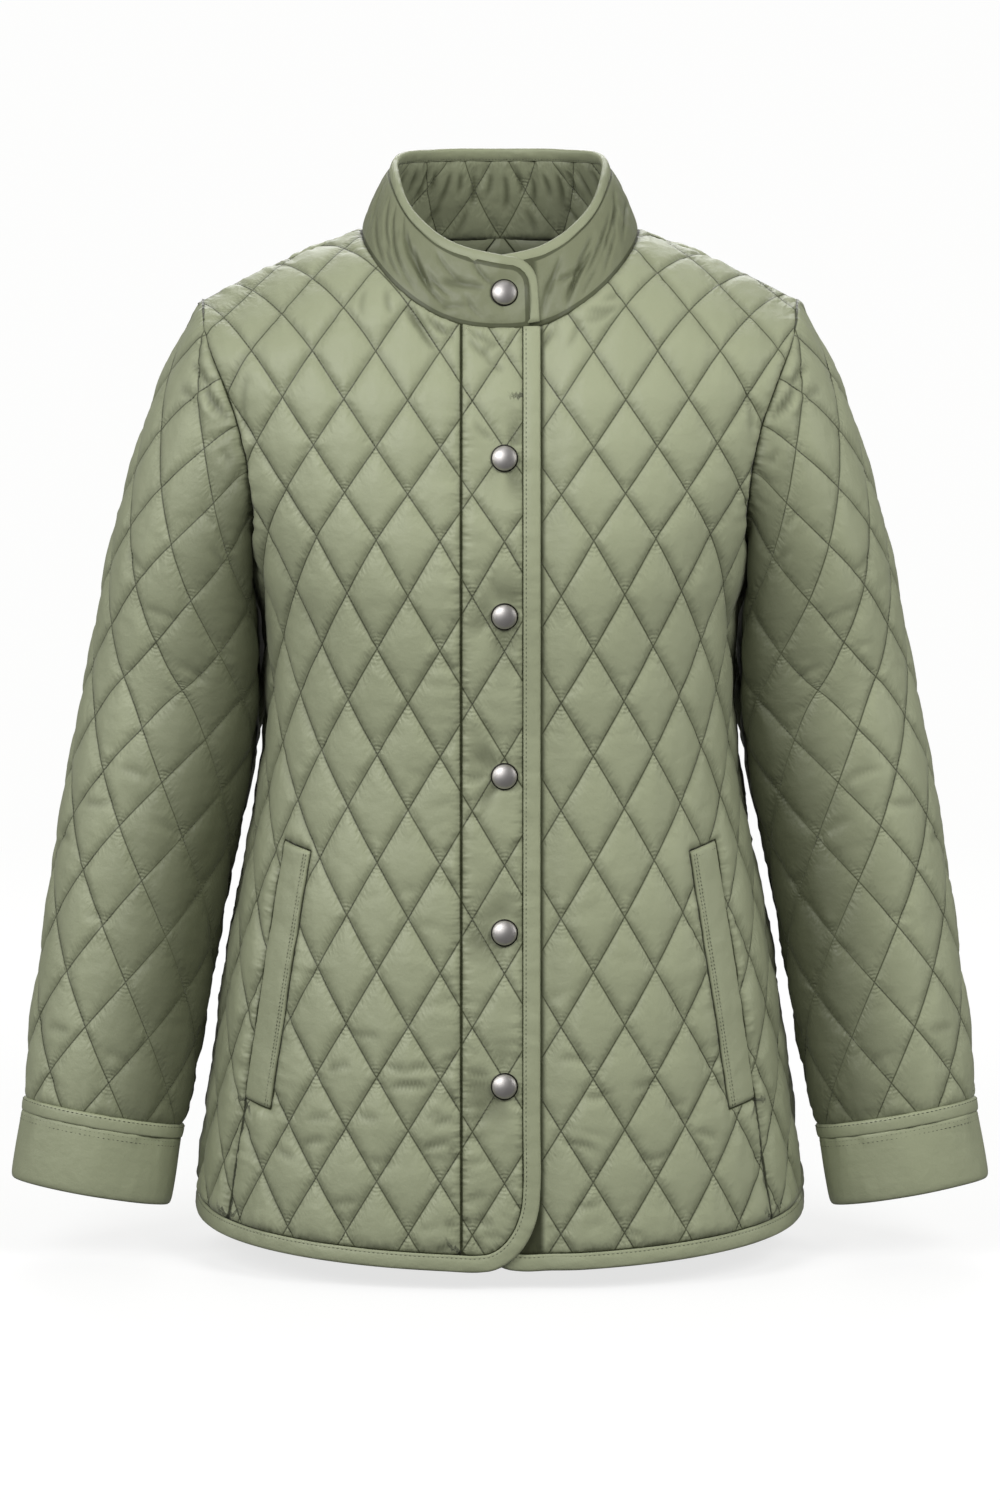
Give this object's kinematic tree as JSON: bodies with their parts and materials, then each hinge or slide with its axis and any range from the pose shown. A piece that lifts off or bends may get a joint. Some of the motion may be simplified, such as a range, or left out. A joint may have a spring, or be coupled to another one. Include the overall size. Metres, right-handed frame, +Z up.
{
  "type": "quilted jacket",
  "caption": "Hip-length quilted jacket, filled out and hollow, with a stand collar, snapped front placket, slanted welt pockets, bound edges and long sleeves with plain cuffs.",
  "frame": {"origin": "middle of the neck at the height of the shoulder seams, where the wearer's shoulders and neck hold the jacket", "axes": "+Z up along the standing wearer, -Y the front with the snaps, +X the wearer's left"},
  "size_m": [0.6656, 0.2932, 0.7367],
  "materials": {
    "quilted_cloth": "olive green satin nylon, padded and quilted in rhombs",
    "plain_cloth": "olive green satin nylon, plain",
    "snap_metal": "brushed grey nickel"
  },
  "bodies": {
    "root": {"front_right": "quilted_cloth", "placket_right": "quilted_cloth", "front_left": "quilted_cloth", "back": "quilted_cloth", "sleeve_right": "quilted_cloth", "sleeve_left": "quilted_cloth", "collar": "quilted_cloth", "binding_front_right": "plain_cloth", "binding_front_left": "plain_cloth", "binding_hem": "plain_cloth", "binding_collar": "plain_cloth", "welt_right": "plain_cloth", "welt_left": "plain_cloth", "cuff_strip_right": "plain_cloth", "cuff_strip_left": "plain_cloth", "cuff_right": "plain_cloth", "cuff_left": "plain_cloth", "snap_1": "snap_metal", "snap_2": "snap_metal", "snap_3": "snap_metal", "snap_4": "snap_metal", "snap_5": "snap_metal", "snap_6": "snap_metal"}
  },
  "joints": []
}
